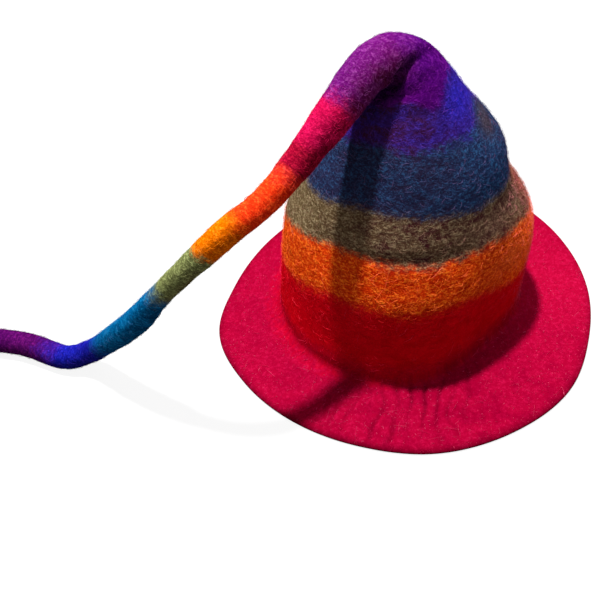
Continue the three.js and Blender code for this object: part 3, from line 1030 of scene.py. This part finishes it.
def unwrap_fibres(mesh):
    """A map that gives every fibre a small cell of its own."""
    fibre = FIBRE_ENDS * (FIBRE_STEPS + 1)
    if len(mesh.vertices) % fibre or len(mesh.polygons) * fibre != len(mesh.vertices) * FIBRE_STEPS:
        raise RuntimeError("the fibres don't have the points that their map expects")
    vertices = np.empty(len(mesh.loops), np.int32)
    mesh.loops.foreach_get("vertex_index", vertices)
    side = math.ceil(math.sqrt(len(mesh.vertices) / fibre))
    cell = vertices // fibre
    inside = np.stack([vertices % fibre // FIBRE_ENDS / FIBRE_STEPS, vertices % FIBRE_ENDS], 1)
    corners = np.stack([cell % side, cell // side], 1) + CELL_MARGIN
    places = (corners + (1 - 2 * CELL_MARGIN) * inside) / side
    layer = mesh.uv_layers.new(name="OFBake")
    layer.data.foreach_set("uv", places.astype(np.float32).ravel())


def lay_fibres(name, felt, tree, material, share, settings):
    """Runs the fibre tree on the felt and keeps the result as a plain mesh."""
    carrier = show(bpy.data.objects.new(f"{name}_carrier", felt.data.copy()))
    factor = carrier.data.attributes.new("share", "FLOAT", "POINT")
    factor.data.foreach_set("value", share.astype(np.float32))
    modifier = carrier.modifiers.new("Loose fibres", "NODES")
    modifier.node_group = tree
    ids = socket_ids(tree)
    for key, value in settings.items():
        modifier[ids[key]] = value
    modifier[ids["Material"]] = material
    modifier[f"{ids['Share']}_use_attribute"] = True
    modifier[f"{ids['Share']}_attribute_name"] = "share"
    graph = bpy.context.evaluated_depsgraph_get()
    graph.update()
    mesh = bpy.data.meshes.new_from_object(carrier.evaluated_get(graph), depsgraph=graph)
    mesh.name = name
    bpy.data.objects.remove(carrier)
    if not mesh.polygons:
        raise RuntimeError(f"no fibres were made for {name}")
    places = np.empty(3 * len(mesh.vertices), np.float32)
    mesh.vertices.foreach_get("co", places)
    mesh.vertices.foreach_set("co", above_floor(places.reshape(-1, 3)).ravel())
    unwrap_fibres(mesh)
    return show(bpy.data.objects.new(name, mesh))


def vertex_values(mesh, name):
    """One number for each vertex from an attribute."""
    values = np.empty(len(mesh.vertices), np.float32)
    mesh.attributes[name].data.foreach_get("value", values)
    return values


def fibre_shares(mesh):
    """How thickly the fibres of each zone lie at each vertex of the felt, in the order of the zones."""
    outside, band, hairy, tail = (vertex_values(mesh, name) for name in ("outside", "band", "hairy", "tail"))
    places = np.empty(3 * len(mesh.vertices))
    mesh.vertices.foreach_get("co", places)
    azimuths = np.degrees(np.arctan2(places[1::3], places[::3]))
    veil = np.exp(-(degrees_from(azimuths, VEIL_AZIMUTH) / VEIL_SPREAD) ** 2)
    return (
        outside * (band < CROWN_BAND),
        outside * np.maximum(hairy, SPARSE_FUZZ * (band >= CROWN_BAND)) * (1 - tail),
        outside * tail,
        outside * (band < STRAY_END),
        outside * (1 - tail) * (band > CROWN_BAND) * (band < VEIL_END) * veil,
    )


# Stage

WHITE = (1, 1, 1, 1)
FLOOR_HALF = 3.0  # metres from the middle of the floor to its sides
FLOOR_DROP = 0.0003  # the floor lies this far under the felt, so that the two don't flicker
FLOOR_BOUNCE = (0.25, 0.25, 0.25, 1)  # colour of the floor for the light that it sends back to the hat
FLOOR_GLOW = 0.9  # light of its own that the floor shows, so that shadows on it stay faint
FLOOR_ROUGHNESS = 0.9
FLOOR_SPECULAR = 0.1
KEY_DIRECTION = Vector((-0.14, 0.17, 1.0)).normalized()  # from the hat to the key light
KEY_DISTANCE = 6.0
KEY_SIZE = 0.45
OVERHEAD_PLACE = Vector((0.4, 0.3, 1.8))
OVERHEAD_SIZE = 1.6
AIM = Vector((0.0087, -0.012, 0.0))  # place on the floor that the camera is turned to
AIM_PIXEL = (410, 299.6)  # where that place lies in the picture, from its left and its top
IMAGE_SIDE = 600  # pixels along a side of the picture
CAMERA_DISTANCE = 0.7
CAMERA_ELEVATION = math.radians(46.8)
CAMERA_NEAR = 0.01  # the camera shows nothing closer than this
SENSOR = 36.0  # millimetres across the camera's sensor


def lay_floor(stage):
    """A plain pale floor."""
    corners = [(x * FLOOR_HALF, y * FLOOR_HALF, -FLOOR_DROP) for x, y in ((-1, -1), (1, -1), (1, 1), (-1, 1))]
    mesh = bpy.data.meshes.new("floor")
    mesh.from_pydata(corners, [], [(0, 1, 2, 3)])
    material = bpy.data.materials.new("pale_floor")
    material.use_nodes = True
    tree = material.node_tree
    is_seen = node(tree, "ShaderNodeLightPath", {}).outputs["Is Camera Ray"]
    set_inputs(tree, tree.nodes["Principled BSDF"], {
        "Base Color": mix(tree, is_seen, FLOOR_BOUNCE, (*stage.floor, 1)),
        "Roughness": FLOOR_ROUGHNESS,
        "Specular IOR Level": FLOOR_SPECULAR,
        "Emission Color": WHITE,
        "Emission Strength": math_node(tree, "MULTIPLY", is_seen, FLOOR_GLOW),
    })
    mesh.materials.append(material)
    show(bpy.data.objects.new("floor", mesh))


def add_light(name, place, size, power):
    """A round soft light that faces the hat."""
    lamp = bpy.data.lights.new(name, "AREA")
    lamp.shape = "DISK"
    lamp.size = size
    lamp.energy = power
    light = show(bpy.data.objects.new(name, lamp))
    light.location = place
    light.rotation_euler = place.to_track_quat("Z", "Y").to_euler()


def light_stage(scene, stage):
    """A high key light from the back left, a broad soft light overhead and an even fill."""
    add_light("key", KEY_DIRECTION * KEY_DISTANCE, KEY_SIZE, stage.key)
    add_light("overhead", OVERHEAD_PLACE, OVERHEAD_SIZE, stage.overhead)
    world = bpy.data.worlds.new("fill")
    world.use_nodes = True
    tree = world.node_tree
    is_seen = node(tree, "ShaderNodeLightPath", {}).outputs["Is Camera Ray"]
    set_inputs(tree, tree.nodes["Background"], {
        "Color": WHITE, "Strength": math_node(tree, "MAXIMUM", is_seen, stage.fill)})
    scene.world = world
    scene.view_settings.view_transform = "Standard"
    scene.view_settings.look = "None"


def aim_camera(scene, stage):
    """The camera at the photograph's angle, with the shift that its framing needs."""
    lens = bpy.data.cameras.new("camera")
    lens.lens = stage.lens
    lens.sensor_width = SENSOR
    lens.shift_x = (IMAGE_SIDE / 2 - AIM_PIXEL[0]) / IMAGE_SIDE
    lens.shift_y = (AIM_PIXEL[1] - IMAGE_SIDE / 2) / IMAGE_SIDE
    lens.clip_start = CAMERA_NEAR
    camera = show(bpy.data.objects.new("camera", lens))
    back = Vector((0, -math.cos(CAMERA_ELEVATION), math.sin(CAMERA_ELEVATION)))
    camera.location = AIM + back * CAMERA_DISTANCE
    camera.rotation_euler = (math.pi / 2 - CAMERA_ELEVATION, 0, 0)
    scene.camera = camera


# Operators

class FELTHAT_OT_felt(bpy.types.Operator):
    """Make the hat's felt: brim, crown, fold and tail in one piece"""

    bl_idname = "felthat.felt"
    bl_label = "Felt"

    def execute(self, context):
        scene = context.scene
        mesh = felt_mesh(scene.felt_form)
        felt = show(bpy.data.objects.new("wool_felt", mesh))
        mesh.materials.append(felt_material(dye_group(scene.felt_dye)))
        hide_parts(FELT_NODE)
        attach(felt, BODY)
        return {"FINISHED"}


class FELTHAT_OT_fibres(bpy.types.Operator):
    """Lay loose fibres on the brim, the crown and the tail"""

    bl_idname = "felthat.fibres"
    bl_label = "Loose fibres"

    def execute(self, context):
        felt = bpy.data.objects.get("wool_felt")
        if felt is None:
            raise RuntimeError("the felt comes before its fibres")
        fuzz = context.scene.felt_fuzz
        tree = fibre_tree()
        material = fibre_material(bpy.data.node_groups["Wool dye"])
        for zone, share in zip(FIBRE_ZONES, fibre_shares(felt.data)):
            settings = {
                "Density": getattr(fuzz, zone.count) * PER_CENTIMETRE,
                "Length": fuzz.length * zone.length,
                "Width": fuzz.width * zone.width,
                "Lift": fuzz.lift * zone.lift,
                "Curl": fuzz.curl,
                "Pale": zone.pale,
                "Seed": fuzz.seed,
            }
            fibres = lay_fibres(zone.name, felt, tree, material, share, settings)
            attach(fibres, BODY)
        return {"FINISHED"}


class FELTHAT_OT_stage(bpy.types.Operator):
    """Set a pale floor, soft lights and the camera"""

    bl_idname = "felthat.stage"
    bl_label = "Stage"

    def execute(self, context):
        stage = context.scene.hat_stage
        lay_floor(stage)
        light_stage(context.scene, stage)
        aim_camera(context.scene, stage)
        return {"FINISHED"}


SETTINGS = {"felt_form": FeltForm, "felt_fuzz": FeltFuzz, "felt_dye": FeltDye, "hat_stage": HatStage}
OPERATORS = (FELTHAT_OT_felt, FELTHAT_OT_fibres, FELTHAT_OT_stage)


class FELTHAT_PT_panel(bpy.types.Panel):
    """Lists the hat's steps and settings"""

    bl_idname = "FELTHAT_PT_panel"
    bl_label = "Felt Hat"
    bl_space_type = "VIEW_3D"
    bl_region_type = "UI"
    bl_category = "Felt Hat"

    def draw(self, context):
        for step in OPERATORS:
            self.layout.operator(step.bl_idname)
        for name, kind in SETTINGS.items():
            box = self.layout.box()
            for key in kind.__annotations__:
                box.prop(getattr(context.scene, name), key)


CLASSES = (*SETTINGS.values(), *OPERATORS, FELTHAT_PT_panel)


def register():
    for kind in CLASSES:
        bpy.utils.register_class(kind)
    for name, kind in SETTINGS.items():
        setattr(bpy.types.Scene, name, PointerProperty(type=kind))


def unregister():
    for name in SETTINGS:
        delattr(bpy.types.Scene, name)
    for kind in reversed(CLASSES):
        bpy.utils.unregister_class(kind)


def main():
    register()
    bpy.ops.felthat.stage()
    bpy.ops.felthat.felt()
    bpy.ops.felthat.fibres()


if __name__ == "__main__":
    main()
